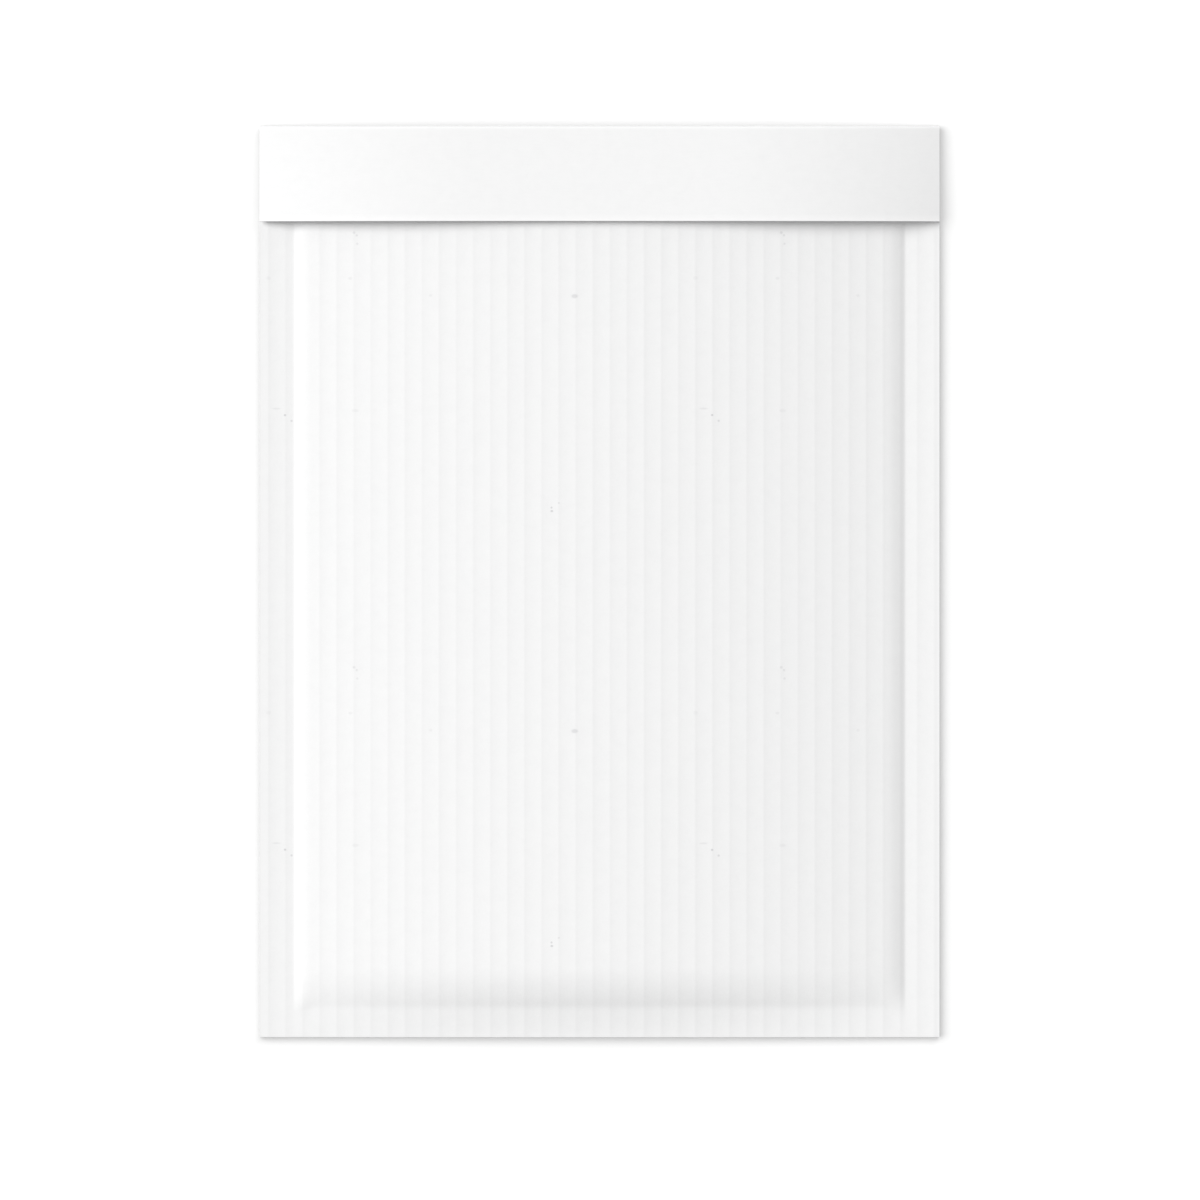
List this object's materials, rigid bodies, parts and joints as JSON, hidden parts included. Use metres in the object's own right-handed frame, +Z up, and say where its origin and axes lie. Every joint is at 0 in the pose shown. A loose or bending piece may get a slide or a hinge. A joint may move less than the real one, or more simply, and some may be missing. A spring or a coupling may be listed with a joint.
{
  "type": "padded envelope",
  "caption": "Closed padded envelope of white ribbed paper, folded at the bottom, sealed at the sides, its flap folded over the front.",
  "frame": {"origin": "under the middle of the envelope, on the surface it lies on", "axes": "+X across the ribs, +Y along the envelope towards the closing flap, +Z up out of the front"},
  "size_m": [0.25, 0.335, 0.0126],
  "materials": {
    "white_paper": "matte white kraft paper, ribbed by the fluted lining under it"
  },
  "bodies": {
    "root": {"envelope": "white_paper"}
  },
  "joints": []
}
